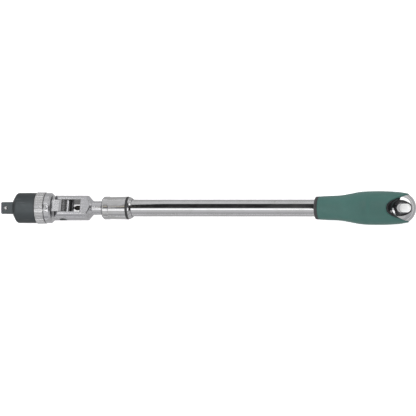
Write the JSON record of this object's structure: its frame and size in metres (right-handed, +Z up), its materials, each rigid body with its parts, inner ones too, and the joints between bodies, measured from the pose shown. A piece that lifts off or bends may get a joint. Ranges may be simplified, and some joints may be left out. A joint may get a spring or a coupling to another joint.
{
  "type": "telescoping flex-head breaker bar",
  "caption": "Telescoping hand bar with a half-inch square drive on an indexing head that flexes in a fork, a lock collar and a rubber grip.",
  "frame": {"origin": "on the surface the bar lies on, under the middle of its pushed-together length", "axes": "+X from the drive square to the end cap, +Z up, the grip's cut facing up"},
  "size_m": [0.4512, 0.0356, 0.0334],
  "materials": {
    "chrome": "polished chrome plate",
    "black_oxide": "black oxide, satin",
    "steel": "ground steel",
    "bronze": "oiled bronze",
    "black_plastic": "moulded, fine grain",
    "black_rubber": "smooth",
    "green_rubber": "satin, fine stipple"
  },
  "bodies": {
    "handle": {"outer_tube": "chrome", "lock_cage": "steel", "lock_balls": "steel", "collar_stop_ring": "steel", "grip_front_ring": "black_plastic", "handle_core": "black_plastic", "grip_sleeve": "green_rubber", "tube_end_plug": "steel", "end_cap": "chrome", "cap_pin": "chrome"},
    "collar": {"lock_collar": "chrome", "collar_end_nut": "chrome", "collar_seal": "black_rubber", "collar_spring": "steel"},
    "slider": {"guide_bush": "bronze"},
    "shank": {"fork_shank": "chrome", "shank_tip_screw": "steel", "pivot_pin": "black_oxide", "flex_spring": "steel"},
    "plunger": {"flex_plunger": "steel"},
    "knuckle": {"knuckle": "chrome", "pawl_pins": "steel", "selector_ball": "steel", "selector_spring": "steel"},
    "rocker_upper": {"rocker_pawl_upper": "steel"},
    "rocker_lower": {"rocker_pawl_lower": "steel"},
    "selector": {"selector_ring": "chrome", "selector_stop_pin": "chrome"},
    "drive": {"drive_body": "black_oxide", "ratchet_gear": "steel", "thrust_washer": "bronze", "head_retaining_ring": "steel", "drive_ball_spring": "steel"},
    "drive_ball": {"drive_ball": "chrome"}
  },
  "joints": [
    {"name": "shank_slide", "type": "slide", "parent": "handle", "child": "slider", "axis": [-1, 0, 0], "range_m": [0, 0.15]},
    {"name": "shank_swivel", "type": "hinge", "parent": "slider", "child": "shank", "pos_m": [0.0726, 0, 0.0167], "axis": [1, 0, 0], "continuous": true},
    {"name": "collar_slide", "type": "slide", "parent": "handle", "child": "collar", "axis": [1, 0, 0], "range_m": [0, 0.004], "stiffness_N_per_m": 1500, "springref_m": -0.004, "deforming": ["collar_spring"]},
    {"name": "head_flex", "type": "hinge", "parent": "shank", "child": "knuckle", "pos_m": [-0.1572, 0, 0.0167], "axis": [0, 0.9563, -0.2924], "range_deg": [-90, 90]},
    {"name": "plunger_slide", "type": "slide", "parent": "shank", "child": "plunger", "axis": [1, 0, 0], "range_m": [0, 0.0015], "stiffness_N_per_m": 1500, "springref_m": -0.002, "deforming": ["flex_spring"]},
    {"name": "selector_turn", "type": "hinge", "parent": "knuckle", "child": "selector", "pos_m": [-0.1817, 0, 0.0167], "axis": [1, 0, 0], "range_deg": [-7, 7]},
    {"name": "rocker_upper_tip", "type": "hinge", "parent": "knuckle", "child": "rocker_upper", "pos_m": [-0.20015, 0, 0.0211], "axis": [1, 0, 0], "range_deg": [-4, 4]},
    {"name": "rocker_lower_tip", "type": "hinge", "parent": "knuckle", "child": "rocker_lower", "pos_m": [-0.20015, 0, 0.0123], "axis": [1, 0, 0], "range_deg": [-4, 4]},
    {"name": "drive_spin", "type": "hinge", "parent": "knuckle", "child": "drive", "pos_m": [-0.2121, 0, 0.0167], "axis": [1, 0, 0], "continuous": true},
    {"name": "ball_press", "type": "slide", "parent": "drive", "child": "drive_ball", "axis": [0, 0, -1], "range_m": [0, 0.001], "stiffness_N_per_m": 1200, "springref_m": -0.001, "deforming": ["drive_ball_spring"]}
  ],
  "couplings": [
    {"joint": "rocker_upper_tip", "follows": "selector_turn", "ratio": 0.5},
    {"joint": "rocker_lower_tip", "follows": "selector_turn", "ratio": 0.5}
  ]
}
